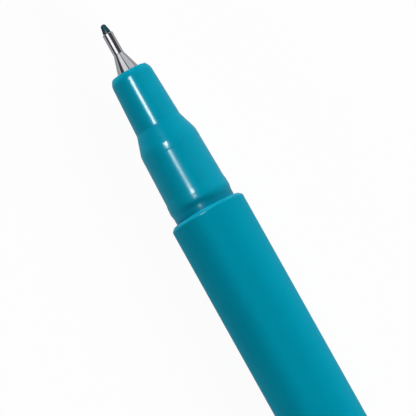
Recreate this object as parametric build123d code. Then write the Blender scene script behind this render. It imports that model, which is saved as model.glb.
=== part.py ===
# Slim fineliner pen with its cap posted on the tail, in millimetres.
# The pen lies along X with the nib towards +X, and the origin is the middle of the barrel.
import os
from math import asin, atan2, degrees, hypot, radians, tan

from build123d import *

# Barrel
barrel_diameter = 8.0
barrel_length = 84.0
barrel_wall = 0.75
lip_land = 0.07
rear_round = 0.25
rib_count = 6
rib_width = 0.6
rib_height = 0.6
rib_set_back = 0.5

# Fits, all measured on the radius or along the axis
press_gap = 0.01
cap_clearance = 0.05
seam_gap = 0.08
rib_clearance = 0.05

# Ridges that lock the nose and the end plug into grooves in the barrel's bore
ridge_length = 0.9
ridge_height = 0.12
ridge_set_back = 4.5

# Snap bead, the same on the nose and on the tail
neck_length = 0.9
bead_rise_length = 0.5
bead_crest_length = 0.85
bead_step_length = 0.25
lead_in_length = 1.0
bead_height = 0.085
bead_crest_slope = 0.02
bead_step_height = 0.055
lead_in_height = 0.04
bead_round = 0.6

# Nose section
spigot_length = 9.0
spigot_round = 0.3
body_length = 4.3
body_draft = 1.45
land_length = 0.9
groove_width = 0.12
groove_depth = 0.03
shoulder_length = 2.0
shoulder_round = 1.3
front_rear_round = 0.3
front_share = 0.791
front_length = 6.15
front_draft = 2.45
rim_bevel_length = 0.55
rim_bevel_angle = 30.0
rim_bevel_round = 1.0
rim_round = 0.2
nose_wall = 0.75

# Nib and the steel sleeve that it runs in
nib_diameter = 0.82
nib_gap = 0.03
nib_reach = 1.03
nib_straight = 0.12
nib_point_radius = 0.29
nib_dip = 5.0
sleeve_wall = 0.12
needle_length = 2.36
needle_round = 0.08
cone_length = 2.03
cone_angle = 17.4
cone_seat = 0.4
cone_round = 0.25
skirt_length = 3.2

# Collar on the nib rod
collar_length = 3.0
collar_step = 0.22
collar_chamfer = 0.2
flute_count = 3
flute_radius = 0.3

# Ink reservoir
film_thickness = 0.1
reservoir_hole_spare = 0.3

# End plug with the tail
shank_length = 8.0
tail_length = 7.0
tail_draft = 1.0
tail_round = 0.6
plug_wall = 0.8
plug_floor = 1.0
gate_dimple_diameter = 1.7
gate_dimple_depth = 0.25
fin_count = 4
fin_width = 0.5

# Cap
cap_length = 44.0
cap_edge_round = 0.25
cap_mouth_chamfer = 0.15
cap_mouth_spare = 0.4
snap_groove_depth = 0.05
cap_wall = 0.9
inner_cap_start = 11.4
inner_cap_wall = 0.4
inner_cap_rib_height = 0.24
inner_cap_rib_width = 0.9
inner_cap_rib_count = 4
inner_cap_floor = 0.6
inner_cap_step = 0.15
nib_room = 1.4
seal_height = 0.09
seal_length = 0.7

# Clip and crown
crown_thickness = 1.5
crown_round = 0.55
crown_plug_length = 6.0
crown_plug_wall = 0.8
vent_diameter = 1.3
clip_length = 34.0
clip_width = 3.0
clip_end_width = 2.3
clip_thickness = 1.05
clip_gap = 0.95
clip_fall = 0.25
clip_root_round = 1.1
clip_inner_round = 0.45
clip_edge_round = 0.3
clip_ball_clearance = 0.15
clip_ball_round = 1.2
clip_ball_length = 2.6
clip_toe_length = 1.8
clip_toe_lift = 0.55
clip_toe_round = 0.95

# Radii that follow from the barrel
barrel_radius = barrel_diameter / 2
bore_radius = barrel_radius - barrel_wall
neck_radius = bore_radius - press_gap
bead_radius = neck_radius + bead_height
body_rear_radius = bead_radius - bead_crest_slope - bead_step_height - lead_in_height
body_front_radius = body_rear_radius - body_length * tan(radians(body_draft))
front_rear_radius = body_front_radius * front_share
rim_rear_radius = front_rear_radius - (front_length - rim_bevel_length) * tan(radians(front_draft))
rim_front_radius = rim_rear_radius - rim_bevel_length * tan(radians(rim_bevel_angle))
nib_radius = nib_diameter / 2
needle_bore_radius = nib_radius + nib_gap
needle_radius = needle_bore_radius + sleeve_wall
skirt_radius = needle_radius + (cone_length + cone_seat) * tan(radians(cone_angle))
collar_radius = skirt_radius + collar_step
film_radius = bore_radius - rib_height - rib_clearance
reservoir_radius = film_radius - film_thickness
plug_bore_radius = neck_radius - plug_wall
cap_bore_radius = bead_radius + cap_clearance
inner_cap_seat_radius = barrel_radius - cap_wall
cap_top_radius = inner_cap_seat_radius - inner_cap_step

# Places along the axis
lip_x = barrel_length / 2
rear_x = -lip_x
bead_length = neck_length + bead_rise_length + bead_crest_length + bead_step_length + lead_in_length
body_front_x = lip_x + bead_length + body_length
front_rear_x = body_front_x + shoulder_length
nose_front_x = front_rear_x + front_length
needle_rear_x = nose_front_x + cone_length
needle_front_x = needle_rear_x + needle_length
nib_front_x = needle_front_x + nib_reach
skirt_front_x = nose_front_x - cone_seat
skirt_rear_x = skirt_front_x - skirt_length
collar_rear_x = skirt_rear_x - collar_length
spigot_rear_x = lip_x - spigot_length
nib_rear_x = spigot_rear_x - nib_dip
shank_front_x = rear_x + shank_length
tail_end_x = rear_x - tail_length
cap_mouth_x = rear_x - seam_gap
cap_end_x = cap_mouth_x - cap_length
crown_seat_x = cap_end_x + crown_thickness
inner_cap_mouth_x = cap_mouth_x - inner_cap_start
inner_cap_depth = nib_front_x - lip_x + nib_room - inner_cap_start
inner_cap_end_x = inner_cap_mouth_x - inner_cap_depth - inner_cap_floor


def turned(corners):
    """A solid of revolution round X from (x, radius, rounding) corners of a closed outline."""
    outline = FilletPolyline(*[(x, r) for x, r, _ in corners], radius=[c[2] for c in corners], close=True)
    return revolve(make_face(outline), Axis.X)


def rod(start_x, end_x, radius):
    """A plain cylinder along X."""
    return turned([(start_x, 0, 0), (end_x, 0, 0), (end_x, radius, 0), (start_x, radius, 0)])


def radial_bar(start_x, end_x, inner_radius, outer_radius, width, angle):
    """A bar along X that stands out from the axis, turned about it."""
    bar = Box(end_x - start_x, outer_radius - inner_radius, width)
    place = Pos((start_x + end_x) / 2, (inner_radius + outer_radius) / 2, 0)
    return Rot(X=angle) * place * bar


def lock_ridge(face_x, inward, radius, gap=0):
    """Outline corners of a locking ridge, listed from face_x inwards, or of its groove with a gap."""
    start_x = face_x + inward * (ridge_set_back - gap)
    end_x = start_x + inward * (ridge_length + 2 * gap)
    slope = inward * ridge_height
    crest = radius + ridge_height
    return [(start_x, radius, 0), (start_x + slope, crest, 0), (end_x - slope, crest, 0), (end_x, radius, 0)]


def snap_bead(face_x, outward):
    """Outline corners of the neck and snap bead in front of a face at face_x."""
    rise_x = face_x + outward * neck_length
    crest_x = rise_x + outward * bead_rise_length
    step_x = crest_x + outward * bead_crest_length
    lead_x = step_x + outward * bead_step_length
    body_x = lead_x + outward * lead_in_length
    step_radius = bead_radius - bead_crest_slope
    lead_radius = step_radius - bead_step_height
    return [
        (rise_x, neck_radius, 0),
        (crest_x, bead_radius, bead_round),
        (step_x, step_radius, bead_round),
        (lead_x, lead_radius, bead_round),
        (body_x, body_rear_radius, 0),
    ]


def make_barrel():
    """Tube with a rounded lip and inner ribs that hold the reservoir."""
    tube = turned([
        (lip_x, bore_radius, 0),
        (lip_x, barrel_radius, barrel_wall - lip_land),
        (rear_x, barrel_radius, rear_round),
        (rear_x, bore_radius, 0),
        *lock_ridge(rear_x, 1, bore_radius, press_gap),
        *reversed(lock_ridge(lip_x, -1, bore_radius, press_gap)),
    ])
    rib_front_x = spigot_rear_x - rib_set_back
    rib_rear_x = shank_front_x + rib_set_back
    rib_top = bore_radius - rib_height
    rib_root = bore_radius + barrel_wall / 2
    for index in range(rib_count):
        angle = index * 360 / rib_count
        tube += radial_bar(rib_rear_x, rib_front_x, rib_top, rib_root, rib_width, angle)
    return tube


def make_nose_section():
    """Glossy front moulding: spigot, neck, snap bead, land, shoulder and slim front with a bevelled rim."""
    draft = tan(radians(body_draft))
    groove_x = body_front_x - land_length
    groove_radius = body_front_radius + land_length * draft
    seat_radius = skirt_radius + press_gap
    mouth_radius = seat_radius - cone_seat * tan(radians(cone_angle))
    chamber_radius = body_front_radius - nose_wall
    outside = [
        (spigot_rear_x, neck_radius, spigot_round),
        *reversed(lock_ridge(lip_x, -1, neck_radius)),
        *snap_bead(lip_x, 1),
        (groove_x - groove_width / 2, groove_radius + groove_width / 2 * draft, 0),
        (groove_x, groove_radius - groove_depth, 0),
        (groove_x + groove_width / 2, groove_radius - groove_width / 2 * draft, 0),
        (body_front_x, body_front_radius, shoulder_round),
        (front_rear_x, front_rear_radius, front_rear_round),
        (nose_front_x - rim_bevel_length, rim_rear_radius, rim_bevel_round),
        (nose_front_x, rim_front_radius, rim_round),
    ]
    inside = [
        (nose_front_x, mouth_radius, 0),
        (skirt_front_x, seat_radius, 0),
        (skirt_rear_x, seat_radius, 0),
        (skirt_rear_x, collar_radius + press_gap, 0),
        (front_rear_x - nose_wall, collar_radius + press_gap, 0),
        (body_front_x - nose_wall, chamber_radius, 0),
        (spigot_rear_x, chamber_radius, 0),
    ]
    return turned(outside + inside)


def make_tip_sleeve():
    """Drawn steel sleeve: needle tube, cone and the skirt that is pressed into the nose."""
    skirt_bore = skirt_radius - sleeve_wall
    return turned([
        (skirt_rear_x, skirt_radius, 0),
        (skirt_front_x, skirt_radius, 0),
        (needle_rear_x, needle_radius, cone_round),
        (needle_front_x, needle_radius, needle_round),
        (needle_front_x, needle_bore_radius, 0),
        (needle_rear_x, needle_bore_radius, 0),
        (skirt_front_x, skirt_bore, 0),
        (skirt_rear_x, skirt_bore, 0),
    ])


def make_nib():
    """Porous rod with a tapered, rounded point."""
    return turned([
        (nib_rear_x, 0, 0),
        (nib_front_x, 0, 0),
        (nib_front_x, nib_point_radius, nib_point_radius),
        (needle_front_x + nib_straight, nib_radius, nib_straight),
        (nib_rear_x, nib_radius, 0),
    ])


def make_nib_collar():
    """Fluted collar behind the steel sleeve that stops the nib rod."""
    grip_radius = nib_radius + press_gap
    collar = turned([
        (collar_rear_x, grip_radius, 0),
        (skirt_rear_x, grip_radius, 0),
        (skirt_rear_x, collar_radius, 0),
        (collar_rear_x + collar_chamfer, collar_radius, 0),
        (collar_rear_x, collar_radius - collar_chamfer, 0),
    ])
    flute = rod(collar_rear_x, skirt_rear_x, flute_radius)
    for index in range(flute_count):
        collar -= Rot(X=index * 360 / flute_count) * Pos(0, collar_radius, 0) * flute
    return collar


def make_ink_reservoir():
    """Fibre rod with a hole for the nib's rear end."""
    hole = rod(nib_rear_x - reservoir_hole_spare, spigot_rear_x, nib_radius + press_gap)
    return rod(shank_front_x, spigot_rear_x, reservoir_radius) - hole


def make_reservoir_film():
    """Film round the fibre rod."""
    return turned([
        (shank_front_x, reservoir_radius, 0),
        (spigot_rear_x, reservoir_radius, 0),
        (spigot_rear_x, film_radius, 0),
        (shank_front_x, film_radius, 0),
    ])


def make_end_plug():
    """Hollow plug with cross fins; the tail carries the same snap bead as the nose."""
    bead_end_x = rear_x - bead_length
    tail_end_radius = body_rear_radius - (bead_end_x - tail_end_x) * tan(radians(tail_draft))
    floor_x = tail_end_x + plug_floor
    plug = turned([
        (shank_front_x, neck_radius, spigot_round),
        *reversed(lock_ridge(rear_x, 1, neck_radius)),
        *snap_bead(rear_x, -1),
        (tail_end_x, tail_end_radius, tail_round),
        (tail_end_x, gate_dimple_diameter / 2, 0),
        (tail_end_x + gate_dimple_depth, gate_dimple_diameter / 2 - gate_dimple_depth, 0),
        (tail_end_x + gate_dimple_depth, 0, 0),
        (floor_x, 0, 0),
        (floor_x, plug_bore_radius, 0),
        (shank_front_x, plug_bore_radius, 0),
    ])
    fin_root = plug_bore_radius + plug_wall / 2
    for index in range(fin_count):
        angle = index * 360 / fin_count
        plug += radial_bar(floor_x - plug_floor / 2, shank_front_x, 0, fin_root, fin_width, angle)
    return plug


def make_cap_shell():
    """Flush cap tube with a bore that steps down towards the crown."""
    mouth_end_x = cap_mouth_x - (body_front_x - lip_x) - cap_mouth_spare
    cone_end_x = mouth_end_x - shoulder_length
    groove_radius = cap_bore_radius + snap_groove_depth
    groove_x = cap_mouth_x - neck_length
    groove_end_x = groove_x - bead_rise_length - bead_crest_length - bead_step_length
    return turned([
        (cap_mouth_x, cap_bore_radius + cap_mouth_chamfer, 0),
        (cap_mouth_x, barrel_radius, cap_edge_round),
        (crown_seat_x, barrel_radius, 0),
        (crown_seat_x, cap_top_radius, 0),
        (inner_cap_end_x, cap_top_radius, 0),
        (inner_cap_end_x, inner_cap_seat_radius, 0),
        (cone_end_x, inner_cap_seat_radius, 0),
        (mouth_end_x, cap_bore_radius, 0),
        (groove_end_x, cap_bore_radius, 0),
        (groove_end_x + snap_groove_depth, groove_radius, 0),
        (groove_x - snap_groove_depth, groove_radius, 0),
        (groove_x, cap_bore_radius, 0),
        (cap_mouth_x - cap_mouth_chamfer, cap_bore_radius, 0),
    ])


def make_inner_cap():
    """Ribbed sealing cup; air passes between its ribs to the vent in the crown."""
    rib_radius = inner_cap_seat_radius - press_gap
    outer_radius = rib_radius - inner_cap_rib_height
    inner_radius = outer_radius - inner_cap_wall
    seal_radius = inner_radius - seal_height
    seal_x = inner_cap_mouth_x - seal_length
    floor_x = inner_cap_end_x + inner_cap_floor
    cup = turned([
        (inner_cap_mouth_x, outer_radius, 0),
        (inner_cap_end_x, outer_radius, 0),
        (inner_cap_end_x, 0, 0),
        (floor_x, 0, 0),
        (floor_x, inner_radius, 0),
        (seal_x - seal_length, inner_radius, 0),
        (seal_x, seal_radius, seal_length / 2),
        (inner_cap_mouth_x, inner_radius + inner_cap_wall / 2, 0),
    ])
    rib_root = outer_radius - inner_cap_wall / 2
    for index in range(inner_cap_rib_count):
        angle = index * 360 / inner_cap_rib_count
        cup += radial_bar(inner_cap_end_x, seal_x, rib_root, rib_radius, inner_cap_rib_width, angle)
    return cup & rod(inner_cap_end_x, inner_cap_mouth_x, rib_radius)


def clip_rest_angle():
    """Angle below the horizontal at which the clip's edge lies on the table with the barrel."""
    edge_y = barrel_radius + clip_gap + clip_thickness - clip_edge_round
    edge_z = clip_width / 2 - clip_edge_round
    touch = asin((barrel_radius - clip_edge_round) / hypot(edge_y, edge_z))
    return degrees(touch - atan2(edge_z, edge_y))


def make_clip_arm():
    """Clip arm along +Y of the cap, with an inward ball and a lifted toe."""
    under_y = barrel_radius + clip_gap
    top_y = under_y + clip_thickness
    toe_x = cap_end_x + clip_length
    ball_x = toe_x - clip_toe_length
    ball_y = barrel_radius + clip_ball_clearance
    side = FilletPolyline(
        (cap_end_x, cap_top_radius),
        (cap_end_x, top_y),
        (toe_x, top_y - clip_fall),
        (toe_x, ball_y + clip_toe_lift),
        (ball_x, ball_y),
        (ball_x - clip_ball_length, under_y - clip_fall),
        (crown_seat_x, under_y),
        (crown_seat_x, cap_top_radius),
        radius=[0, clip_root_round, 0, 0, clip_ball_round, clip_ball_round, clip_inner_round, 0],
        close=True,
    )
    plan = FilletPolyline(
        (cap_end_x, -clip_width / 2),
        (toe_x, -clip_end_width / 2),
        (toe_x, clip_end_width / 2),
        (cap_end_x, clip_width / 2),
        radius=[0, clip_toe_round, clip_toe_round, 0],
        close=True,
    )
    arm = extrude(make_face(side), clip_width, both=True)
    arm &= extrude(Plane.XZ * make_face(plan), -2 * top_y)
    top_edges = arm.faces().sort_by(Axis.Y)[-1].edges().filter_by(GeomType.LINE).sort_by(SortBy.LENGTH)
    return fillet(top_edges[-2:], clip_edge_round)


def make_clip_crown():
    """Crown flange, hollow plug and clip arm in one moulding."""
    plug_radius = cap_top_radius - press_gap
    plug_end_x = crown_seat_x + crown_plug_length
    crown = turned([
        (cap_end_x, vent_diameter / 2, 0),
        (cap_end_x, barrel_radius, crown_round),
        (crown_seat_x, barrel_radius, 0),
        (crown_seat_x, plug_radius, 0),
        (plug_end_x, plug_radius, 0),
        (plug_end_x, plug_radius - crown_plug_wall, 0),
        (crown_seat_x, plug_radius - crown_plug_wall, 0),
        (crown_seat_x, vent_diameter / 2, 0),
    ])
    return Rot(X=-clip_rest_angle()) * (crown + make_clip_arm())


PIECES = {
    "barrel": make_barrel,
    "nose_section": make_nose_section,
    "tip_sleeve": make_tip_sleeve,
    "nib": make_nib,
    "nib_collar": make_nib_collar,
    "ink_reservoir": make_ink_reservoir,
    "reservoir_film": make_reservoir_film,
    "end_plug": make_end_plug,
    "cap_shell": make_cap_shell,
    "inner_cap": make_inner_cap,
    "clip_crown": make_clip_crown,
}

os.makedirs("parts", exist_ok=True)
for name, make in PIECES.items():
    export_step(make(), f"parts/{name}.step")
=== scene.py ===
"""Looks of a slim fineliner pen with its cap posted on the tail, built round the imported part."""
from math import asin, atan2, cos, hypot, pi, radians, sin, sqrt, tan

import bmesh
import bpy
from bpy.props import FloatProperty, FloatVectorProperty, IntProperty, PointerProperty
from mathutils import Matrix, Vector


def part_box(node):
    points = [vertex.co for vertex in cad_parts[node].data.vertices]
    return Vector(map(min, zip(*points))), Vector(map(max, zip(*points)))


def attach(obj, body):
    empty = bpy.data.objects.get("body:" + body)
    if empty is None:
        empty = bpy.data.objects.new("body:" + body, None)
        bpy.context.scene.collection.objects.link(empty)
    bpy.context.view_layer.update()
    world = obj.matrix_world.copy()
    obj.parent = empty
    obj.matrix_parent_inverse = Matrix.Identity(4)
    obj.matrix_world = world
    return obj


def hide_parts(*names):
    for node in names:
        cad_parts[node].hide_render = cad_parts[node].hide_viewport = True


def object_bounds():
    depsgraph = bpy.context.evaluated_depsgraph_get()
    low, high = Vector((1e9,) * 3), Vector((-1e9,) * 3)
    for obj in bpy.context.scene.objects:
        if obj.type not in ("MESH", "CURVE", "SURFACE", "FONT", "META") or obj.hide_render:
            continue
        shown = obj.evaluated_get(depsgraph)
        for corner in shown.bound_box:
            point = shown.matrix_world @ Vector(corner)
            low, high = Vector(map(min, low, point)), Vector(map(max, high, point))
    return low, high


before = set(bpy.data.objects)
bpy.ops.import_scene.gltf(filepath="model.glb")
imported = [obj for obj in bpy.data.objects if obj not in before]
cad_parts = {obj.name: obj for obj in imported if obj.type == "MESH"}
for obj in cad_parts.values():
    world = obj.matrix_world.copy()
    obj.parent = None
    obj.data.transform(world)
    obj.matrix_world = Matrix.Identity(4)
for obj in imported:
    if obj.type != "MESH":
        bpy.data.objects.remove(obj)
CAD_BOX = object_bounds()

bl_info = {
    "name": "Fineliner pen",
    "version": (1, 0, 0),
    "blender": (4, 5, 0),
    "location": "View3D > Sidebar > Fineliner",
    "description": "Models a capped fineliner pen, its finishes and its studio stage",
    "category": "Object",
}

MM = 0.001
MERGE = 1e-7  # vertices nearer than this are one, in metres
TOUCH = 2e-6  # how near a vertex is to the place it is picked by, in metres
TURN_STEPS = 128  # faces round a turned piece
NIB_STEPS = 64  # faces round the slim nib
ARC_STEP = radians(8)  # turn of each face in a rounded corner
ARC_LEAST = 2  # fewest faces in a rounded corner, and those in a broken edge
TOE_STEPS = 10  # faces in each rounded corner of the clip's toe
CLIP_EDGE_STEPS = 5  # faces across the clip's rounded upper edges
UPRIGHT = 0.2  # a face whose normal has less of Y than this stands on end
LEVEL = 0.9  # a face whose normal has more of Y than this lies flat
SMOOTH = radians(32)  # edges sharper than this stay sharp in the shading
LIP_LEAN = sin(radians(10))  # faces of the lip that lean forward more than this are polished
PAPER_GLOW = 0.95  # share of the floor's plain white; the rest of it keeps the shadow
PAPER_MIRRORED = 0.42  # strength of that white in reflections
WALL_EDGE = sin(radians(3)), sin(radians(6))  # heights between which the room's white wall fades
ROOM_LIGHT = 0.068  # strength of the room above its wall
LAMP_DISTANCE = 0.5  # metres from the lip to each lamp
SENSOR_WIDTH = 36  # of the camera, in millimetres
CAMERA_RANGE = 0.01, 20  # nearest and farthest that the camera sees, in metres


# Sizes and colours

def linear(hex_colour):
    """Linear red, green and blue of an sRGB hex colour."""
    channels = [int(hex_colour[i:i + 2], 16) / 255 for i in (1, 3, 5)]
    return tuple(c / 12.92 if c <= 0.04045 else ((c + 0.055) / 1.055) ** 2.4 for c in channels)


def size(label, description, millimetres):
    """A length in the panel: given in millimetres, kept in metres."""
    return FloatProperty(
        name=label, description=description, default=millimetres * MM, min=0, precision=5,
        unit="LENGTH")


def angle(label, description, degrees):
    """An angle in the panel: given in degrees, kept in radians."""
    return FloatProperty(
        name=label, description=description, default=radians(degrees), subtype="ANGLE")


def count(label, description, number):
    """A number of like shapes in the panel."""
    return IntProperty(name=label, description=description, default=number, min=0)


def colour(label, description, hex_colour):
    """A colour in the panel, given as sRGB hex."""
    return FloatVectorProperty(
        name=label, description=description, default=linear(hex_colour), min=0, max=1,
        subtype="COLOR")


def reach(node):
    """A CAD node's rear end, front end and largest radius."""
    low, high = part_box(node)
    return low.x, high.x, high.z


class PenSizes(bpy.types.PropertyGroup):
    """Sizes of the barrel, the nose, the writing tip and the tail."""
    edge: size("Edge break", "Rounding of edges that are sharp in the mould", 0.04)
    wall: size("Barrel wall", "Thickness of the barrel tube", 0.75)
    lip_bevel: size("Lip bevel", "Length of the bevel on the barrel's lip", 0.3)
    lip_drop: size("Lip drop", "How far the bevel on the lip falls", 0.34)
    lip_round: size("Lip round", "Rounding where the bevel leaves the barrel", 0.3)
    lip_edge: size("Lip edge", "Rounding between the bevel and the lip's face", 0.12)
    rear_round: size("Rear round", "Rounding of the barrel's rear edge", 0.25)
    rib_count: count("Ribs", "Ribs in the barrel's bore", 6)
    rib_width: size("Rib width", "Width of a rib in the bore", 0.6)
    rib_height: size("Rib height", "Height of a rib in the bore", 0.6)
    rib_set_back: size("Rib set-back", "Room between a rib's end and the piece it faces", 0.5)
    fit: size("Press fit", "Gap between pressed pieces, on the radius", 0.01)
    ridge_length: size("Ridge length", "Length of a locking ridge", 0.9)
    ridge_height: size("Ridge height", "Height of a locking ridge", 0.12)
    ridge_set_back: size("Ridge set-back", "From the barrel's end to its locking ridge", 4.5)
    neck: size("Neck", "Length of the neck between lip and snap bead", 0.72)
    neck_hollow: size("Neck hollow", "How far the neck thins towards the lip", 0.01)
    relief: size("Relief", "Length of the neck's fall towards the snap bead", 0.3)
    relief_depth: size("Relief depth", "Depth of the neck's fall towards the snap bead", 0.009)
    bead_rise: size("Bead rise", "Length of the snap bead's rear slope", 0.5)
    bead_crest: size("Bead crest", "Length of the snap bead's crest", 0.68)
    crest_step: size("Crest step", "Length of the fine step halfway along the crest", 0.1)
    crest_round: size("Crest round", "Rounding of the fine step on the crest", 0.08)
    bead_step: size("Bead step", "Length of the slope in front of the crest", 0.5)
    lead_in: size("Lead-in", "Length of the lead-in that the cap slides over", 1.1)
    bead_height: size("Bead height", "Height of the snap bead over the neck", 0.085)
    crest_drop: size("Crest drop", "Fall along the bead's crest", 0.02)
    step_drop: size("Step drop", "Fall along the slope in front of the crest", 0.073)
    lead_in_drop: size("Lead-in drop", "Fall along the lead-in", 0.022)
    bead_round: size("Bead round", "Rounding of the snap bead", 0.25)
    spigot_round: size("Spigot round", "Rounding of a spigot's inner end", 0.3)
    body: size("Nose body", "Length of the drafted nose body", 4.3)
    body_draft: angle("Body draft", "Draft of the nose body", 1.45)
    land: size("Sealing land", "Length of the land in front of the groove", 0.9)
    groove_width: size("Groove width", "Width of the groove behind the land", 0.12)
    groove_depth: size("Groove depth", "Depth of the groove behind the land", 0.012)
    land_rise: size("Land rise", "How far the land's rear edge stands above the body", 0.012)
    shoulder: size("Shoulder", "Length of the conical shoulder", 2.0)
    shoulder_round: size("Shoulder round", "Rounding where the body turns into the shoulder", 1.3)
    front_rear_round: size("Front rear round", "Rounding between shoulder and slim front", 0.3)
    front_share: FloatProperty(
        name="Front share", description="Slim front's radius as a share of the body's",
        default=0.791, min=0.1, max=1, subtype="FACTOR")
    front_draft: angle("Front draft", "Draft of the slim front", 2.45)
    rim_bevel: size("Rim bevel", "Length of the bevel at the slim front's rim", 0.55)
    rim_angle: angle("Rim angle", "Angle of the bevel at the rim", 30)
    rim_bevel_round: size("Rim bevel round", "Rounding where the rim's bevel starts", 1.0)
    rim_round: size("Rim round", "Rounding of the rim's front edge", 0.2)
    nose_wall: size("Nose wall", "Thickness of the nose wall", 0.75)
    collar_step: size("Collar step", "Step from the steel sleeve's seat to the collar's", 0.22)
    sleeve_wall: size("Sleeve wall", "Thickness of the drawn steel", 0.12)
    needle: size("Needle", "Length of the steel needle tube", 2.36)
    needle_round: size("Needle round", "Rounding of the needle's front edge", 0.08)
    cone: size("Cone", "Length of the steel cone in front of the nose", 2.03)
    cone_angle: angle("Cone angle", "Half angle of the steel cone", 17.4)
    cone_seat: size("Cone seat", "Length of the cone inside the nose", 0.4)
    cone_round: size("Cone round", "Rounding where the cone meets the needle", 0.25)
    nib_straight: size("Nib straight", "Straight length of the nib in front of the needle", 0.2)
    nib_point: size("Nib point", "Radius of the nib's rounded point", 0.245)
    tail_draft: angle("Tail draft", "Draft of the tail", 1.0)
    tail_round: size("Tail round", "Rounding of the tail's end", 0.6)
    plug_wall: size("Plug wall", "Wall of the end plug", 0.8)
    plug_floor: size("Plug floor", "Thickness of the end plug's closed end", 1.0)
    dimple_diameter: size("Gate dimple", "Diameter of the dimple at the tail's gate", 1.7)
    dimple_depth: size("Dimple depth", "Depth of the dimple at the tail's gate", 0.25)
    fin_count: count("Fins", "Fins in the end plug", 4)
    fin_width: size("Fin width", "Width of a fin in the end plug", 0.5)


class CapSizes(bpy.types.PropertyGroup):
    """Sizes of the cap, its inner cap and its clip."""
    mouth_round: size("Mouth round", "Rounding of the cap's mouth edge", 0.25)
    mouth_chamfer: size("Mouth chamfer", "Chamfer inside the cap's mouth", 0.15)
    clearance: size("Clearance", "Gap between the cap's bore and the snap bead", 0.05)
    mouth_spare: size("Mouth spare", "Wide bore beyond the nose body", 0.4)
    snap_depth: size("Snap groove", "Depth of the groove that the bead snaps into", 0.05)
    wall: size("Cap wall", "Wall of the cap where the inner cap sits", 0.9)
    seat_step: size("Seat step", "Step that stops the inner cap", 0.15)
    cup_wall: size("Cup wall", "Wall of the inner cap", 0.4)
    cup_floor: size("Cup floor", "Floor of the inner cap", 0.6)
    cup_rib_count: count("Cup ribs", "Ribs on the inner cap", 4)
    cup_rib_height: size("Cup rib height", "Height of a rib on the inner cap", 0.24)
    cup_rib_width: size("Cup rib width", "Width of a rib on the inner cap", 0.9)
    seal_height: size("Seal height", "Height of the sealing bead in the inner cap", 0.09)
    seal_length: size("Seal length", "Length of one side of the sealing bead", 0.7)
    crown_round: size("Crown round", "Rounding of the crown's edge", 0.55)
    plug_length: size("Crown plug", "Length of the plug pressed into the cap", 6.0)
    plug_wall: size("Crown plug wall", "Wall of the crown's plug", 0.8)
    vent: size("Vent", "Diameter of the air vent in the crown", 1.3)
    clip_width: size("Clip width", "Width of the clip at the crown", 3.0)
    clip_end_width: size("Clip end width", "Width of the clip at its toe", 2.3)
    clip_thickness: size("Clip thickness", "Thickness of the clip arm", 1.05)
    clip_gap: size("Clip gap", "Gap between clip arm and cap", 0.95)
    clip_fall: size("Clip fall", "Fall of the clip towards its toe", 0.25)
    clip_root_round: size("Clip root round", "Outer rounding at the clip's root", 1.1)
    clip_inner_round: size("Clip inner round", "Inner rounding at the clip's root", 0.45)
    clip_edge_round: size("Clip edge round", "Rounding of the clip's upper edges", 0.3)
    ball_clearance: size("Ball clearance", "Gap between the clip's ball and the cap", 0.15)
    ball_round: size("Ball round", "Rounding of the clip's ball", 1.2)
    ball_length: size("Ball length", "Length of the slope behind the ball", 2.6)
    toe_length: size("Toe length", "Length of the clip's lifted toe", 1.8)
    toe_lift: size("Toe lift", "Lift of the clip's toe", 0.55)
    toe_round: size("Toe round", "Rounding of the toe, seen from above", 0.95)


class Finishes(bpy.types.PropertyGroup):
    """Colours of the materials."""
    barrel: colour("Barrel teal", "Matt plastic of the barrel and the cap", "#008BA4")
    nose: colour("Nose teal", "Glossy plastic of the nose, the tail and the clip", "#008FA9")
    steel: colour("Steel", "Drawn stainless steel of the tip", "#D4D5DB")
    nib: colour("Nib", "Ink-soaked porous plastic of the nib", "#1B434D")
    white: colour("White plastic", "Natural plastic of the collar and the inner cap", "#ECEBE4")
    ink: colour("Inked fibre", "Fibre of the reservoir where the ink is", "#0E6478")
    film: colour("Film", "Film round the reservoir", "#D5DEDF")
    floor: colour("Floor", "Paper floor of the stage", "#F8F8F8")


class StageSettings(bpy.types.PropertyGroup):
    """Camera and room of the stage."""
    heading: angle("Heading", "Angle of the pen in the picture, from the right", 119.21)
    tip_drop: angle("Tip drop", "How far the tip leans away from the camera", 4.2)
    picture: size("Picture width", "Width of the picture where the pen is", 41.476)
    aim_right: size("Aim right", "Picture's centre to the right of the lip", 0.181)
    aim_up: size("Aim up", "Picture's centre above the lip", 0.259)
    lens: FloatProperty(
        name="Lens", description="Focal length on a 36 mm sensor", default=300, min=50,
        unit="CAMERA")
    floor_width: size("Floor width", "Width of the paper floor", 12000)


# Modelling by hand

def pick(piece, kind, test):
    """Selects the vertices, edges or faces of a piece in edit mode that pass a test."""
    bpy.ops.mesh.select_mode(type=kind)
    bpy.ops.mesh.select_all(action="DESELECT")
    mesh = bmesh.from_edit_mesh(piece.data)
    for item in {"VERT": mesh.verts, "EDGE": mesh.edges, "FACE": mesh.faces}[kind]:
        if test(item):
            item.select_set(True)
    mesh.select_flush_mode()
    bmesh.update_edit_mesh(piece.data)


def select_only(piece):
    """Makes a piece the only selected object, and the active one."""
    bpy.ops.object.select_all(action="DESELECT")
    piece.select_set(True)
    bpy.context.view_layer.objects.active = piece


def take_place(piece, name):
    """Names a new primitive and puts its place into its mesh."""
    piece.name = piece.data.name = name
    bpy.ops.object.transform_apply(location=True, rotation=True, scale=True)
    return piece


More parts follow.
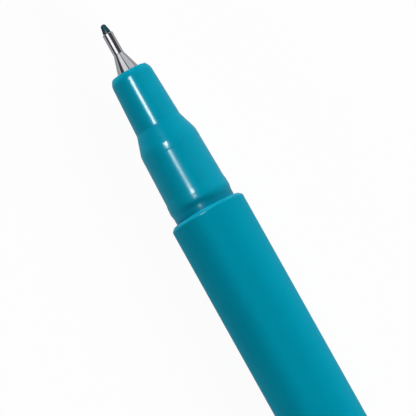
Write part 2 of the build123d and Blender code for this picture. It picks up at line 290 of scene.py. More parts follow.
def draw_outline(name, corners):
    """Draws an outline in XY from (x, y, rounding) corners, open if it starts on the axis."""
    closed = corners[0][1] > 0
    bpy.ops.object.select_all(action="DESELECT")
    bpy.ops.mesh.primitive_plane_add(size=MM, location=(corners[0][0], corners[0][1], 0))
    piece = take_place(bpy.context.active_object, name)
    bpy.ops.object.mode_set(mode="EDIT")
    bpy.ops.mesh.select_mode(type="VERT")
    bpy.ops.mesh.select_all(action="SELECT")
    bpy.ops.mesh.merge(type="CENTER")
    following = corners[1:] + corners[:1] if closed else corners[1:]
    for (x, y, _), (next_x, next_y, _) in zip(corners, following):
        way = (next_x - x, next_y - y, 0)
        bpy.ops.mesh.extrude_vertices_move(TRANSFORM_OT_translate={"value": way})
    bpy.ops.mesh.select_all(action="SELECT")
    bpy.ops.mesh.remove_doubles(threshold=MERGE)
    for index, (x, y, rounding) in enumerate(corners):
        if rounding > 0:
            before = Vector((x, y)) - Vector(corners[index - 1][:2])
            after = Vector(corners[(index + 1) % len(corners)][:2]) - Vector((x, y))
            turn = before.angle(after)
            pick(piece, "VERT", lambda vertex: (vertex.co - Vector((x, y, 0))).length < TOUCH)
            faces = max(ARC_LEAST, round(turn / ARC_STEP))
            bpy.ops.mesh.bevel(
                offset=rounding * tan(turn / 2), segments=faces, affect="VERTICES")
    return piece


def close_mesh():
    """Joins what meets in the mesh in edit mode, and turns its faces outwards."""
    bpy.ops.mesh.select_all(action="SELECT")
    bpy.ops.mesh.remove_doubles(threshold=MERGE)
    bpy.ops.mesh.normals_make_consistent(inside=False)


def turn_piece(name, corners, steps=TURN_STEPS):
    """Turns an outline of (x, radius, rounding) corners round the pen's axis."""
    piece = draw_outline(name, corners)
    bpy.ops.mesh.select_all(action="SELECT")
    bpy.ops.mesh.spin(steps=steps, angle=2 * pi, center=(0, 0, 0), axis=(1, 0, 0))
    close_mesh()
    bpy.ops.object.mode_set(mode="OBJECT")
    return piece


def unite(piece, other):
    """Joins another closed mesh to a piece with a Boolean, and deletes the other."""
    select_only(piece)
    bpy.ops.object.modifier_add(type="BOOLEAN")
    modifier = piece.modifiers[-1]
    modifier.operation = "UNION"
    modifier.solver = "EXACT"
    modifier.object = other
    bpy.ops.object.modifier_apply(modifier=modifier.name)
    bpy.data.meshes.remove(other.data)


def add_bars(piece, count, rear_x, front_x, inner_radius, outer_radius, width, edge):
    """Models one bar along X with broken edges, and joins a ring of copies to a turned piece."""
    bpy.ops.object.select_all(action="DESELECT")
    middle = ((rear_x + front_x) / 2, (inner_radius + outer_radius) / 2, 0)
    bpy.ops.mesh.primitive_cube_add(
        size=1, location=middle, scale=(front_x - rear_x, outer_radius - inner_radius, width))
    bar = take_place(bpy.context.active_object, piece.name + "_bar")
    bpy.ops.object.mode_set(mode="EDIT")
    bpy.ops.mesh.select_all(action="SELECT")
    bpy.ops.mesh.bevel(offset=edge, segments=ARC_LEAST, affect="EDGES")
    bpy.ops.object.mode_set(mode="OBJECT")
    for index in range(count):
        select_only(bar)
        bpy.ops.object.duplicate(linked=False)
        copy = bpy.context.active_object
        copy.rotation_euler.x = index * 2 * pi / count
        bpy.ops.object.transform_apply(rotation=True)
        unite(piece, copy)
    bpy.data.meshes.remove(bar.data)


def finish_piece(piece, node, body, slot):
    """Smooths a finished piece, gives it its slot's material and lets it stand for its node."""
    select_only(piece)
    bpy.ops.object.shade_smooth_by_angle(angle=SMOOTH)
    bpy.ops.object.modifier_add(type="WEIGHTED_NORMAL")
    piece.modifiers[-1].keep_sharp = True
    bpy.ops.object.modifier_apply(modifier=piece.modifiers[-1].name)
    piece.data.materials.clear()
    piece.data.materials.append(slot_material(slot))
    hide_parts(node)
    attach(piece, body)


# Outlines shared by pieces

def lock_ridge(pen, face_x, inward, radius, gap=0):
    """Corners of a locking ridge, listed from face_x inwards, or of its groove with a gap."""
    start_x = face_x + inward * (pen.ridge_set_back - gap)
    end_x = start_x + inward * (pen.ridge_length + 2 * gap)
    slope = inward * pen.ridge_height
    crest = radius + pen.ridge_height
    return [
        (start_x, radius, 0),
        (start_x + slope, crest, pen.edge),
        (end_x - slope, crest, pen.edge),
        (end_x, radius, 0),
    ]


def neck_radius(pen):
    """Radius of the neck, which is also that of the spigots pressed into the barrel."""
    return reach("barrel")[2] - pen.wall - pen.fit


def bead_fall(pen):
    """Fall from the snap bead's crest to the body in front of it."""
    return pen.crest_drop + pen.step_drop + pen.lead_in_drop


def bead_length(pen):
    """Length of neck and snap bead."""
    return pen.neck + pen.bead_rise + pen.bead_crest + pen.bead_step + pen.lead_in


def snap_bead(pen, face_x, outward):
    """Corners of the neck and the snap bead outside a face at face_x."""
    rise_x = face_x + outward * pen.neck
    crest_x = rise_x + outward * pen.bead_rise
    fine_x = crest_x + outward * pen.bead_crest / 2
    step_x = crest_x + outward * pen.bead_crest
    lead_x = step_x + outward * pen.bead_step
    body_x = lead_x + outward * pen.lead_in
    neck = neck_radius(pen)
    crest = neck + pen.bead_height
    return [
        (face_x, neck - pen.neck_hollow, pen.bead_round),
        (rise_x - outward * pen.relief, neck, pen.bead_round),
        (rise_x, neck - pen.relief_depth, pen.bead_round),
        (crest_x, crest, pen.bead_round),
        (fine_x, crest, pen.crest_round),
        (fine_x + outward * pen.crest_step, crest - pen.crest_drop, pen.crest_round),
        (step_x, crest - pen.crest_drop, pen.bead_round),
        (lead_x, crest - pen.crest_drop - pen.step_drop, pen.bead_round),
        (body_x, crest - bead_fall(pen), pen.bead_round),
    ]


def sleeve_radii(pen):
    """Bore and outside of the needle tube, and outside of the sleeve's skirt."""
    skirt = reach("tip_sleeve")[2]
    outside = skirt - (pen.cone + pen.cone_seat) * tan(pen.cone_angle)
    return outside - pen.sleeve_wall, outside, skirt


# Materials

def add_node(tree, kind, settings=None, links=None):
    """Adds a node, sets its options and input values, and links its inputs to other outputs."""
    node = tree.nodes.new(kind)
    for name, value in (settings or {}).items():
        if isinstance(name, str) and hasattr(node, name):
            setattr(node, name, value)
        else:
            node.inputs[name].default_value = value
    for name, output in (links or {}).items():
        tree.links.new(output, node.inputs[name])
    return node


def finish(draw):
    """Wraps a function that draws nodes: it returns the material of its name, made only once."""
    def material(rgb):
        if draw.__name__ not in bpy.data.materials:
            made = bpy.data.materials.new(draw.__name__)
            made.use_nodes = True
            tree = made.node_tree
            tree.nodes.clear()
            draw(tree, add_node(tree, "ShaderNodeTexCoord").outputs["Object"], rgb)
        return bpy.data.materials[draw.__name__]
    return material


def per_metre(millimetres):
    """Texture scale that gives a pattern's features this size."""
    return 1 / (millimetres * MM)


def shade(rgb, factor):
    """A linear colour made lighter or darker, with its alpha."""
    return (*[min(1, channel * factor) for channel in rgb], 1)


def add_noise(tree, place, feature, detail, roughness=0.5, squeeze=1):
    """Noise with features of a size in millimetres; a squeezed X draws them out along the pen."""
    if squeeze != 1:
        scale = {"Scale": (squeeze, 1, 1)}
        place = add_node(tree, "ShaderNodeMapping", scale, {"Vector": place}).outputs[0]
    settings = {"Scale": per_metre(feature), "Detail": detail, "Roughness": roughness}
    return add_node(tree, "ShaderNodeTexNoise", settings, {"Vector": place}).outputs[0]


def add_tint(tree, rgb, pattern, dark, light):
    """A colour that a pattern varies from a darker shade of it to a lighter one."""
    # The node's inputs 6 and 7 are the colours it mixes, and its output 2 is the mixed colour
    shades = {"data_type": "RGBA", 6: shade(rgb, dark), 7: shade(rgb, light)}
    return add_node(tree, "ShaderNodeMix", shades, {0: pattern}).outputs[2]


def add_gloss(tree, pattern, smooth, rough, low=0.3, high=0.7):
    """Roughness that goes from smooth to rough as a pattern goes from low to high."""
    span = {"From Min": low, "From Max": high, "To Min": smooth, "To Max": rough}
    return add_node(tree, "ShaderNodeMapRange", span, {"Value": pattern}).outputs[0]


def add_relief(tree, pattern, depth, strength):
    """Bumps of a depth in millimetres that follow a pattern."""
    settings = {"Strength": strength, "Distance": depth * MM}
    return add_node(tree, "ShaderNodeBump", settings, {"Height": pattern}).outputs[0]


def add_surface(tree, settings, tint, gloss=None, relief=None):
    """A Principled surface, led to the material's output."""
    links = {"Base Color": tint, "Roughness": gloss, "Normal": relief}
    used = {name: output for name, output in links.items() if output is not None}
    surface = add_node(tree, "ShaderNodeBsdfPrincipled", settings, used)
    add_node(tree, "ShaderNodeOutputMaterial", {}, {"Surface": surface.outputs[0]})


@finish
def matt_moulded_polypropylene(tree, place, rgb):
    """Polypropylene from a spark-eroded mould: an even matt colour whose fine pitted grain breaks
    the light up, with faint flow clouds along the tube. The real grain is about 0.05 mm, but is
    drawn at 0.2 mm to show."""
    grain = add_noise(tree, place, feature=0.2, detail=2, roughness=0.6)
    flow = add_noise(tree, place, feature=2.5, detail=3, squeeze=0.12)
    mottle = add_node(tree, "ShaderNodeMix", {"Factor": 0.5}, {"A": flow, "B": grain}).outputs[0]
    tint = add_tint(tree, rgb, mottle, dark=0.84, light=1.16)
    gloss = add_gloss(tree, grain, smooth=0.46, rough=0.56)
    relief = add_relief(tree, grain, depth=0.02, strength=1)
    add_surface(
        tree,
        {"IOR": 1.49, "Specular IOR Level": 0.05, "Specular Tint": shade(rgb, 1 / max(rgb))},
        tint, gloss, relief)


@finish
def polished_moulded_polypropylene(tree, place, rgb):
    """Polypropylene from a polished mould: a clear skin gives a crisp white highlight, and the
    pigment under it a soft glow of its own colour beside it, uneven where the cap has rubbed."""
    cloud = add_noise(tree, place, feature=1.3, detail=1)
    rub = add_noise(tree, place, feature=0.25, detail=3, squeeze=0.1)
    tint = add_tint(tree, rgb, cloud, dark=0.96, light=1.04)
    gloss = add_gloss(tree, rub, smooth=0.5, rough=0.6, low=0.35, high=0.75)
    relief = add_relief(tree, rub, depth=0.006, strength=0.3)
    add_surface(
        tree,
        {"IOR": 1.49, "Specular IOR Level": 0.07, "Specular Tint": shade(rgb, 1 / max(rgb)),
         "Coat Weight": 1, "Coat IOR": 1.1, "Coat Roughness": 0.18},
        tint, gloss, relief)


@finish
def drawn_stainless_steel(tree, place, rgb):
    """Stainless steel drawn into a tube and polished: near mirror bands along the tube, softened
    by draw lines. The real lines are a few microns wide, but are drawn at 0.05 mm to show."""
    lines = add_noise(tree, place, feature=0.05, detail=2, squeeze=0.02)
    stain = add_noise(tree, place, feature=0.6, detail=2)
    tint = add_tint(tree, rgb, stain, dark=0.94, light=1.03)
    gloss = add_gloss(tree, lines, smooth=0.05, rough=0.1)
    relief = add_relief(tree, lines, depth=0.001, strength=0.2)
    add_surface(tree, {"Metallic": 1}, tint, gloss, relief)


@finish
def porous_polyacetal(tree, place, rgb):
    """Extruded polyacetal rod with ink channels, ground to a point: dark with ink, wet-looking in
    places, with fine pores. The pores are drawn at 0.06 mm, coarser than real ones, to show."""
    cells = add_node(tree, "ShaderNodeTexVoronoi", {"Scale": per_metre(0.06)}, {"Vector": place})
    pores = cells.outputs["Distance"]
    wet = add_noise(tree, place, feature=0.3, detail=2)
    tint = add_tint(tree, rgb, pores, dark=0.8, light=1.25)
    gloss = add_gloss(tree, wet, smooth=0.28, rough=0.42)
    relief = add_relief(tree, pores, depth=0.01, strength=0.3)
    add_surface(tree, {"IOR": 1.48, "Specular IOR Level": 0.05}, tint, gloss, relief)


@finish
def natural_polyethylene(tree, place, rgb):
    """Unpigmented moulded polyethylene: milky and waxy, with cloudy flow marks."""
    cloud = add_noise(tree, place, feature=1.5, detail=3)
    tint = add_tint(tree, rgb, cloud, dark=0.9, light=1.02)
    gloss = add_gloss(tree, cloud, smooth=0.3, rough=0.45)
    glow_depth = (0.6 * MM, 0.6 * MM, 0.5 * MM)
    add_surface(
        tree, {"IOR": 1.51, "Subsurface Weight": 0.15, "Subsurface Radius": glow_depth},
        tint, gloss)


@finish
def bonded_polyester_fibre(tree, place, rgb):
    """Polyester fibres bonded into a rod and soaked with ink: fine lines along the rod, dull, with
    paler dry strands. The fibres are drawn at 0.08 mm, coarser than real ones, to show."""
    strands = add_noise(tree, place, feature=0.08, detail=3, squeeze=0.03)
    tint = add_tint(tree, rgb, strands, dark=0.6, light=1.9)
    relief = add_relief(tree, strands, depth=0.02, strength=0.6)
    add_surface(tree, {"IOR": 1.5, "Roughness": 0.85}, tint, relief=relief)


@finish
def clear_polypropylene_film(tree, place, rgb):
    """Drawn polypropylene film: glassy and thin, with long draw streaks that catch the light."""
    streaks = add_noise(tree, place, feature=0.4, detail=3, squeeze=0.02)
    tint = add_tint(tree, rgb, streaks, dark=0.9, light=1.08)
    gloss = add_gloss(tree, streaks, smooth=0.08, rough=0.2)
    add_surface(tree, {"IOR": 1.49, "Transmission Weight": 0.6}, tint, gloss)


@finish
def studio_paper(tree, place, rgb):
    """Smooth white paper: plain white to the camera and a softer white in reflections, apart from
    the shadow that its diffuse share keeps, and it throws light back up as paper does."""
    tooth = add_noise(tree, place, feature=4, detail=3)
    tint = add_tint(tree, rgb, tooth, dark=0.985, light=1)
    paper = add_node(tree, "ShaderNodeBsdfDiffuse", {}, {"Color": tint})
    ray = add_node(tree, "ShaderNodeLightPath")
    mirrored = ray.outputs["Is Glossy Ray"]
    strength = add_node(
        tree, "ShaderNodeMath", {"operation": "MULTIPLY_ADD", 1: PAPER_MIRRORED - 1, 2: 1},
        {0: mirrored})
    glow = add_node(tree, "ShaderNodeEmission", {}, {"Strength": strength.outputs[0]})
    straight = add_node(
        tree, "ShaderNodeMath", {"operation": "MAXIMUM"},
        {0: ray.outputs["Is Camera Ray"], 1: ray.outputs["Is Transmission Ray"]})
    seen = add_node(
        tree, "ShaderNodeMath", {"operation": "MAXIMUM"}, {0: straight.outputs[0], 1: mirrored})
    share = add_node(
        tree, "ShaderNodeMath", {"operation": "MULTIPLY", 1: PAPER_GLOW}, {0: seen.outputs[0]})
    both = add_node(
        tree, "ShaderNodeMixShader", {},
        {0: share.outputs[0], 1: paper.outputs[0], 2: glow.outputs[0]})
    add_node(tree, "ShaderNodeOutputMaterial", {}, {"Surface": both.outputs[0]})


SLOTS = {
    "barrel_plastic": (matt_moulded_polypropylene, "barrel"),
    "nose_plastic": (polished_moulded_polypropylene, "nose"),
    "tip_steel": (drawn_stainless_steel, "steel"),
    "nib_plastic": (porous_polyacetal, "nib"),
    "white_plastic": (natural_polyethylene, "white"),
    "ink_fibre": (bonded_polyester_fibre, "ink"),
    "film_plastic": (clear_polypropylene_film, "film"),
}


def slot_material(slot):
    """The material of a slot, in the colour that is set for it."""
    make, colour_name = SLOTS[slot]
    return make(getattr(bpy.context.scene.fineliner_finishes, colour_name))


# Pieces

class FINELINER_OT_barrel(bpy.types.Operator):
    """Turn the matt barrel tube and join the ribs that hold the reservoir"""
    bl_idname = "fineliner.barrel"
    bl_label = "Barrel"

    def execute(self, context):
        pen = context.scene.fineliner_pen
        rear_x, lip_x, radius = reach("barrel")
        bore = radius - pen.wall
        barrel = turn_piece("barrel_tube", [
            (lip_x, bore, pen.edge),
            (lip_x, radius - pen.lip_drop, pen.lip_edge),
            (lip_x - pen.lip_bevel, radius, pen.lip_round),
            (rear_x, radius, pen.rear_round),
            (rear_x, bore, pen.edge),
            *lock_ridge(pen, rear_x, 1, bore, pen.fit),
            *reversed(lock_ridge(pen, lip_x, -1, bore, pen.fit)),
        ])
        rib_rear_x = reach("end_plug")[1] + pen.rib_set_back
        rib_front_x = reach("nose_section")[0] - pen.rib_set_back
        add_bars(
            barrel, pen.rib_count, rib_rear_x, rib_front_x, bore - pen.rib_height,
            bore + pen.wall / 2, pen.rib_width, pen.edge)
        finish_piece(barrel, "barrel", "pen", "barrel_plastic")
        barrel.data.materials.append(slot_material("nose_plastic"))
        barrel.active_material_index = 1
        bpy.ops.object.mode_set(mode="EDIT")
        pick(barrel, "FACE", lambda face: face.normal.x > LIP_LEAN
             and face.calc_center_median().x > lip_x - pen.wall)
        bpy.ops.object.material_slot_assign()
        bpy.ops.object.mode_set(mode="OBJECT")
        return {"FINISHED"}


class FINELINER_OT_nose(bpy.types.Operator):
    """Turn the glossy nose: spigot, neck, snap bead, sealing land, shoulder and slim front"""
    bl_idname = "fineliner.nose"
    bl_label = "Nose section"

    def execute(self, context):
        pen = context.scene.fineliner_pen
        spigot_x, front_x, _ = reach("nose_section")
        sleeve_x = reach("tip_sleeve")[0]
        lip_x = reach("barrel")[1]
        neck = neck_radius(pen)
        draft = tan(pen.body_draft)
        body_x = lip_x + bead_length(pen) + pen.body
        body = neck + pen.bead_height - bead_fall(pen) - pen.body * draft
        slim_x = body_x + pen.shoulder
        slim = body * pen.front_share
        rim_x = front_x - pen.rim_bevel
        rim = slim - (rim_x - slim_x) * tan(pen.front_draft)
        groove_x = body_x - pen.land
        groove = body + pen.land * draft
        half_groove = pen.groove_width / 2
        seat = sleeve_radii(pen)[2] + pen.fit
        seat_x = front_x - pen.cone_seat
        mouth = seat - pen.cone_seat * tan(pen.cone_angle)
        collar = seat + pen.collar_step
        chamber = body - pen.nose_wall
        nose = turn_piece("nose_moulding", [
            (spigot_x, neck, pen.spigot_round),
            *reversed(lock_ridge(pen, lip_x, -1, neck)),
            *snap_bead(pen, lip_x, 1),
            (groove_x - half_groove, groove + half_groove * draft, pen.edge / 2),
            (groove_x, groove - pen.groove_depth, 0),
            (groove_x + half_groove, groove - half_groove * draft + pen.land_rise, pen.edge / 2),
            (body_x, body, pen.shoulder_round),
            (slim_x, slim, pen.front_rear_round),
            (rim_x, rim, pen.rim_bevel_round),
            (front_x, rim - pen.rim_bevel * tan(pen.rim_angle), pen.rim_round),
            (front_x, mouth, pen.edge / 2),
            (seat_x, seat, 0),
            (sleeve_x, seat, 0),
            (sleeve_x, collar, 0),
            (slim_x - pen.nose_wall, collar, 0),
            (body_x - pen.nose_wall, chamber, pen.front_rear_round),
            (spigot_x, chamber, pen.edge),
        ])
        finish_piece(nose, "nose_section", "pen", "nose_plastic")
        return {"FINISHED"}


class FINELINER_OT_tip(bpy.types.Operator):
    """Turn the drawn steel sleeve: needle tube, cone and the skirt that is pressed into the nose"""
    bl_idname = "fineliner.tip"
    bl_label = "Steel tip"

    def execute(self, context):
        pen = context.scene.fineliner_pen
        rear_x, front_x, _ = reach("tip_sleeve")
        bore, needle, skirt = sleeve_radii(pen)
        cone_x = front_x - pen.needle
        skirt_x = reach("nose_section")[1] - pen.cone_seat
        sleeve = turn_piece("steel_sleeve", [
            (rear_x, skirt, pen.edge),
            (skirt_x, skirt, pen.cone_round),
            (cone_x, needle, pen.cone_round),
            (front_x, needle, pen.needle_round),
            (front_x, bore, pen.edge / 2),
            (cone_x, bore, pen.cone_round),
            (skirt_x, skirt - pen.sleeve_wall, pen.cone_round),
            (rear_x, skirt - pen.sleeve_wall, pen.edge),
        ])
        finish_piece(sleeve, "tip_sleeve", "pen", "tip_steel")
        return {"FINISHED"}


class FINELINER_OT_nib(bpy.types.Operator):
    """Turn the nib rod with its tapered, rounded point"""
    bl_idname = "fineliner.nib"
    bl_label = "Nib"

    def execute(self, context):
        pen = context.scene.fineliner_pen
        rear_x, front_x, radius = reach("nib")
        straight_x = reach("tip_sleeve")[1] + pen.nib_straight
        nib = turn_piece("nib_rod", [
            (rear_x, 0, 0),
            (rear_x, radius, pen.edge),
            (straight_x, radius, pen.nib_straight),
            (front_x, pen.nib_point, pen.nib_point),
            (front_x, 0, 0),
        ], NIB_STEPS)
        finish_piece(nib, "nib", "pen", "nib_plastic")
        return {"FINISHED"}


class FINELINER_OT_tail(bpy.types.Operator):
    """Turn the end plug with the tail's snap bead, and join the fins in its bore"""
    bl_idname = "fineliner.tail"
    bl_label = "End plug"

    def execute(self, context):
        pen = context.scene.fineliner_pen
        end_x, shank_x, _ = reach("end_plug")
        rear_x = reach("barrel")[0]
        neck = neck_radius(pen)
        bore = neck - pen.plug_wall
        body_x = rear_x - bead_length(pen)
        tail = neck + pen.bead_height - bead_fall(pen) - (body_x - end_x) * tan(pen.tail_draft)
        dimple = pen.dimple_diameter / 2
        floor_x = end_x + pen.plug_floor
        plug = turn_piece("end_plug_moulding", [
            (floor_x, 0, 0),
            (floor_x, bore, pen.spigot_round),
            (shank_x, bore, pen.edge),
            (shank_x, neck, pen.spigot_round),
            *reversed(lock_ridge(pen, rear_x, 1, neck)),
            *snap_bead(pen, rear_x, -1),
            (end_x, tail, pen.tail_round),
            (end_x, dimple, pen.edge),
            (end_x + pen.dimple_depth, dimple - pen.dimple_depth, pen.edge),
            (end_x + pen.dimple_depth, 0, 0),
        ])
        add_bars(
            plug, pen.fin_count, floor_x - pen.plug_floor / 2, shank_x - pen.edge, 0,
            bore + pen.plug_wall / 2, pen.fin_width, pen.edge)
        finish_piece(plug, "end_plug", "pen", "nose_plastic")
        return {"FINISHED"}


class FINELINER_OT_cap(bpy.types.Operator):
    """Turn the matt cap shell with its snap groove and stepped bore"""
    bl_idname = "fineliner.cap"
    bl_label = "Cap shell"

    def execute(self, context):
        pen, cap = context.scene.fineliner_pen, context.scene.fineliner_cap
        crown_x, mouth_x, radius = reach("cap_shell")
        cup_x = reach("inner_cap")[0]
        bore = neck_radius(pen) + pen.bead_height + cap.clearance
        seat = radius - cap.wall
        top = seat - cap.seat_step
        wide_x = mouth_x - bead_length(pen) - pen.body - cap.mouth_spare
        groove_x = mouth_x - pen.neck
        groove_end_x = groove_x - pen.bead_rise - pen.bead_crest - pen.bead_step
        shell = turn_piece("cap_tube", [
            (mouth_x, bore + cap.mouth_chamfer, pen.edge),
            (mouth_x, radius, cap.mouth_round),
            (crown_x, radius, pen.edge),
            (crown_x, top, pen.edge),
            (cup_x, top, pen.edge),
            (cup_x, seat, 0),
            (wide_x - pen.shoulder, seat, pen.front_rear_round),
            (wide_x, bore, pen.front_rear_round),
            (groove_end_x, bore, 0),
            (groove_end_x + cap.snap_depth, bore + cap.snap_depth, 0),
            (groove_x - cap.snap_depth, bore + cap.snap_depth, 0),
            (groove_x, bore, 0),
            (mouth_x - cap.mouth_chamfer, bore, pen.edge),
        ])
        finish_piece(shell, "cap_shell", "cap", "barrel_plastic")
        return {"FINISHED"}


class FINELINER_OT_inner_cap(bpy.types.Operator):
    """Turn the sealing cup in the cap, and join the ribs that hold it"""
    bl_idname = "fineliner.inner_cap"
    bl_label = "Inner cap"

    def execute(self, context):
        pen, cap = context.scene.fineliner_pen, context.scene.fineliner_cap
        end_x, mouth_x, rib = reach("inner_cap")
        outside = rib - cap.cup_rib_height
        inside = outside - cap.cup_wall
        floor_x = end_x + cap.cup_floor
        seal_x = mouth_x - cap.seal_length
        cup = turn_piece("sealing_cup", [
            (floor_x, 0, 0),
            (floor_x, inside, pen.spigot_round),
            (seal_x - cap.seal_length, inside, cap.seal_length),
            (seal_x, inside - cap.seal_height, cap.seal_length / 2),
            (mouth_x, inside + cap.cup_wall / 2, pen.edge),
            (mouth_x, outside, pen.edge),
            (end_x, outside, pen.spigot_round),
            (end_x, 0, 0),
        ])
        flat_top = sqrt(rib ** 2 - (cap.cup_rib_width / 2) ** 2)
        add_bars(
            cup, cap.cup_rib_count, end_x + pen.spigot_round, seal_x, outside - cap.cup_wall / 2,
            flat_top, cap.cup_rib_width, pen.edge)
        finish_piece(cup, "inner_cap", "cap", "white_plastic")
        return {"FINISHED"}


class FINELINER_OT_clip(bpy.types.Operator):
    """Turn the crown with its hollow plug, shape the clip arm, and join the two"""
    bl_idname = "fineliner.clip"
    bl_label = "Clip and crown"

    def execute(self, context):
        pen, cap = context.scene.fineliner_pen, context.scene.fineliner_cap
        end_x, toe_x, _ = reach("clip_crown")
        seat_x, _, radius = reach("cap_shell")
        plug = radius - cap.wall - cap.seat_step - pen.fit
        plug_x = seat_x + cap.plug_length
        vent = cap.vent / 2
        crown = turn_piece("clip_moulding", [
            (end_x, vent, pen.edge),
            (end_x, radius, cap.crown_round),
            (seat_x, radius, pen.edge),
            (seat_x, plug, 0),
            (plug_x, plug, pen.spigot_round),
            (plug_x, plug - cap.plug_wall, pen.edge),
            (seat_x, plug - cap.plug_wall, pen.edge),
            (seat_x, vent, pen.edge),
        ])
        unite(crown, self.make_arm(pen, cap, end_x, seat_x, toe_x, radius, plug))
        crown.rotation_euler.x = -self.rest_angle(cap, radius)
        select_only(crown)
        bpy.ops.object.transform_apply(rotation=True)
        finish_piece(crown, "clip_crown", "cap", "nose_plastic")
        return {"FINISHED"}

    def rest_angle(self, cap, radius):
        """Angle below the horizontal at which the clip's edge lies on the table with the barrel."""
        edge_y = radius + cap.clip_gap + cap.clip_thickness - cap.clip_edge_round
        edge_z = cap.clip_width / 2 - cap.clip_edge_round
        return asin((radius - cap.clip_edge_round) / hypot(edge_y, edge_z)) - atan2(edge_z, edge_y)

    def make_arm(self, pen, cap, end_x, seat_x, toe_x, radius, plug):
        """Fills and extrudes the arm's side outline, tapers it by two cuts and rounds its edges."""
        under = radius + cap.clip_gap
        top = under + cap.clip_thickness
        ball_x = toe_x - cap.toe_length
        ball = radius + cap.ball_clearance
        half = cap.clip_width / 2
        arm = draw_outline("clip_arm", [
            (end_x, plug, 0),
            (end_x, top, cap.clip_root_round),
            (toe_x, top - cap.clip_fall, 0),
            (toe_x, ball + cap.toe_lift, 0),
            (ball_x, ball, cap.ball_round),
            (ball_x - cap.ball_length, under - cap.clip_fall, cap.ball_round),
            (seat_x, under, cap.clip_inner_round),
            (seat_x, plug, 0),
        ])
        bpy.ops.mesh.select_all(action="SELECT")
        bpy.ops.mesh.edge_face_add()
        bpy.ops.transform.translate(value=(0, 0, -half))
        bpy.ops.mesh.extrude_region_move(TRANSFORM_OT_translate={"value": (0, 0, 2 * half)})
        taper = Vector((toe_x - end_x, 0, cap.clip_end_width / 2 - half))
        for side in (1, -1):
            bpy.ops.mesh.select_all(action="SELECT")
            bpy.ops.mesh.bisect(
                plane_co=(end_x, 0, side * half),
                plane_no=Vector((-taper.z, 0, side * taper.x)).normalized(),
                use_fill=True, clear_outer=True)
        close_mesh()
        pick(arm, "EDGE", lambda edge: all(abs(v.co.x - toe_x) < TOUCH for v in edge.verts)
             and abs(edge.verts[0].co.z - edge.verts[1].co.z) < TOUCH)
        bpy.ops.mesh.bevel(offset=cap.toe_round, segments=TOE_STEPS, affect="EDGES")
        pick(arm, "EDGE", lambda edge: self.on_rim(edge, top - 2 * cap.clip_fall))
        bpy.ops.mesh.bevel(offset=cap.clip_edge_round, segments=CLIP_EDGE_STEPS, affect="EDGES")
        bpy.ops.object.mode_set(mode="OBJECT")
        return arm

    def on_rim(self, edge, lowest):
        """Whether an edge lies between the arm's upper side and a face that stands on end."""
        if len(edge.link_faces) != 2 or min(v.co.y for v in edge.verts) < lowest:
            return False
        facing = sorted(face.normal.y for face in edge.link_faces)
        return facing[0] < UPRIGHT and facing[1] > LEVEL


class FINELINER_OT_core(bpy.types.Operator):
    """Give the hidden core its finishes: collar, reservoir and film keep their CAD shapes"""
    bl_idname = "fineliner.core"
    bl_label = "Ink core"

    def execute(self, context):
        core = {
            "nib_collar": "white_plastic",
            "ink_reservoir": "ink_fibre",
            "reservoir_film": "film_plastic",
        }
        for node, slot in core.items():
            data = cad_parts[node].data
            data.materials.clear()
            data.materials.append(slot_material(slot))
        return {"FINISHED"}


# Stage

# Pieces that a lamp can be hung for alone
LAMP_PIECES = {
    "plastic_pieces": (
        "barrel_tube", "nose_moulding", "end_plug_moulding", "cap_tube", "sealing_cup",
        "clip_moulding", "nib_rod"),
    "barrel_piece": ("barrel_tube",),
    "nose_piece": ("nose_moulding",),
    "steel_piece": ("steel_sleeve",),
}
# Each lamp: name, degrees across the pen to the picture's right, degrees along it towards the tip,
# size along and across in metres, and power in watts. A lamp that is hung for some pieces shows
# only in their gloss, because light linking keeps it off the rest; the others light the colour of
# all.
LAMPS = (
    ("strip_softbox", -9.4, 15.5, 0.0734, 0.10, 12.4, "plastic_pieces"),
    ("strip_edge", -11, 9.05, 0.0393, 0.085, 1.6, "plastic_pieces"),
    ("lip_card", -15, 40, 0.10, 0.13, 6.0, "barrel_piece"),
    ("shoulder_card", -9, 41, 0.12, 0.13, 0.35, "nose_piece"),
    ("needle_card", -14.6, 9.5, 0.10, 0.40, 0.19, "steel_piece"),
    ("cone_card", -13, 41.2, 0.18, 0.40, 0.20, "steel_piece"),
    ("tip_card", 58, 44.2, 0.40, 0.44, 0.34, "steel_piece"),
    ("rear_softbox", 44, -62, 0.18, 0.18, 2.42, None),
    ("right_softbox", 56, 15, 0.30, 0.30, 0.77, None),
    ("front_softbox", 20, 79, 0.18, 0.18, 2.85, None),
    ("left_softbox", -78, -30, 0.30, 0.30, 1.1, None),
)


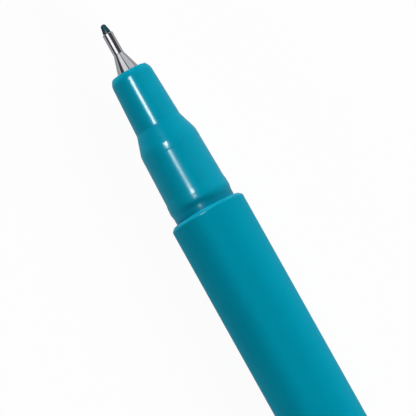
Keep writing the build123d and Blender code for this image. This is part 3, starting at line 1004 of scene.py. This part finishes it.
class FINELINER_OT_stage(bpy.types.Operator):
    """Lay the paper floor, hang the lamps and set the camera"""
    bl_idname = "fineliner.stage"
    bl_label = "Stage"

    def execute(self, context):
        stage = context.scene.fineliner_stage
        lip = Vector((reach("barrel")[1], 0, 0))
        self.lay_floor(context, stage)
        self.light_room(context)
        groups = {name: self.gather(name, pieces) for name, pieces in LAMP_PIECES.items()}
        for name, across, along, length, width, power, group in LAMPS:
            self.hang_lamp(name, lip, across, along, length, width, power, groups.get(group))
        self.set_camera(context, stage, lip)
        context.scene.view_settings.view_transform = "Standard"
        return {"FINISHED"}

    def lay_floor(self, context, stage):
        """A wide paper floor just under the part."""
        bpy.ops.object.select_all(action="DESELECT")
        bpy.ops.mesh.primitive_plane_add(size=stage.floor_width, location=(0, 0, CAD_BOX[0].z))
        floor = take_place(context.active_object, "paper_floor")
        floor.data.materials.append(studio_paper(context.scene.fineliner_finishes.floor))

    def light_room(self, context):
        """A dim room with a white wall low round the floor, so that the horizon is white too."""
        world = bpy.data.worlds.new("studio_room")
        world.use_nodes = True
        tree = world.node_tree
        tree.nodes.clear()
        direction = add_node(tree, "ShaderNodeTexCoord").outputs["Generated"]
        height = add_node(tree, "ShaderNodeSeparateXYZ", {}, {"Vector": direction}).outputs["Z"]
        wall = add_node(
            tree, "ShaderNodeMapRange",
            {"From Min": WALL_EDGE[0], "From Max": WALL_EDGE[1], "To Min": 1, "To Max": ROOM_LIGHT},
            {"Value": height})
        room = add_node(tree, "ShaderNodeBackground", {"Strength": 1}, {"Color": wall.outputs[0]})
        add_node(tree, "ShaderNodeOutputWorld", {}, {"Surface": room.outputs[0]})
        context.scene.world = world

    def gather(self, name, pieces):
        """A collection of the pieces that lamps are hung for."""
        group = bpy.data.collections.new(name)
        for piece in pieces:
            group.objects.link(bpy.data.objects[piece])
        return group

    def hang_lamp(self, name, target, across, along, length, width, power, shiny_pieces):
        """A rectangular softbox that faces the target, for all colours or some pieces' gloss."""
        across, along = radians(across), radians(along)
        outward = Vector((sin(along), -sin(across) * cos(along), cos(across) * cos(along)))
        lengthways = (Vector((1, 0, 0)) - outward.x * outward).normalized()
        turn = Matrix((lengthways, outward.cross(lengthways), outward)).transposed()
        spot = target + outward * LAMP_DISTANCE
        bpy.ops.object.light_add(type="AREA", location=spot, rotation=turn.to_euler())
        lamp = bpy.context.active_object
        lamp.name = lamp.data.name = name
        lamp.data.shape = "RECTANGLE"
        lamp.data.size, lamp.data.size_y = length, width
        lamp.data.energy = power
        lamp.visible_glossy = shiny_pieces is not None
        lamp.visible_diffuse = shiny_pieces is None
        lamp.light_linking.receiver_collection = shiny_pieces

    def set_camera(self, context, stage, lip):
        """A long lens that sees the nose and the front of the barrel as the picture does."""
        along = Vector((
            cos(stage.heading) * cos(stage.tip_drop), sin(stage.heading) * cos(stage.tip_drop),
            -sin(stage.tip_drop)))
        upward = (Vector((0, 0, 1)) - along.z * along).normalized()
        turn = Matrix((along, upward.cross(along), upward))
        bpy.ops.object.camera_add()
        camera = context.active_object
        camera.name = camera.data.name = "picture_camera"
        camera.data.lens = stage.lens
        camera.data.sensor_width = SENSOR_WIDTH
        camera.data.clip_start, camera.data.clip_end = CAMERA_RANGE
        distance = stage.picture * stage.lens / SENSOR_WIDTH
        spot = lip + turn @ Vector((stage.aim_right, stage.aim_up, distance))
        camera.matrix_world = Matrix.Translation(spot) @ turn.to_4x4()
        context.scene.camera = camera


class FINELINER_PT_build(bpy.types.Panel):
    """Lists the steps that build the pen, and the sizes and colours they use"""
    bl_label = "Fineliner"
    bl_space_type = "VIEW_3D"
    bl_region_type = "UI"
    bl_category = "Fineliner"

    def draw(self, context):
        for step in STEPS:
            self.layout.operator(step.bl_idname)
        for name in GROUPS:
            group = getattr(context.scene, name)
            for item in group.__annotations__:
                self.layout.prop(group, item)


GROUPS = {
    "fineliner_pen": PenSizes,
    "fineliner_cap": CapSizes,
    "fineliner_finishes": Finishes,
    "fineliner_stage": StageSettings,
}
STEPS = (
    FINELINER_OT_barrel, FINELINER_OT_nose, FINELINER_OT_tip, FINELINER_OT_nib,
    FINELINER_OT_tail, FINELINER_OT_cap, FINELINER_OT_inner_cap, FINELINER_OT_clip,
    FINELINER_OT_core, FINELINER_OT_stage,
)


def register():
    for name, group in GROUPS.items():
        bpy.utils.register_class(group)
        setattr(bpy.types.Scene, name, PointerProperty(type=group))
    for step in STEPS:
        bpy.utils.register_class(step)
    bpy.utils.register_class(FINELINER_PT_build)


def unregister():
    bpy.utils.unregister_class(FINELINER_PT_build)
    for step in reversed(STEPS):
        bpy.utils.unregister_class(step)
    for name, group in reversed(GROUPS.items()):
        delattr(bpy.types.Scene, name)
        bpy.utils.unregister_class(group)


def main():
    register()
    bpy.ops.fineliner.barrel()
    bpy.ops.fineliner.nose()
    bpy.ops.fineliner.tip()
    bpy.ops.fineliner.nib()
    bpy.ops.fineliner.tail()
    bpy.ops.fineliner.cap()
    bpy.ops.fineliner.inner_cap()
    bpy.ops.fineliner.clip()
    bpy.ops.fineliner.core()
    bpy.ops.fineliner.stage()


if __name__ == "__main__":
    main()
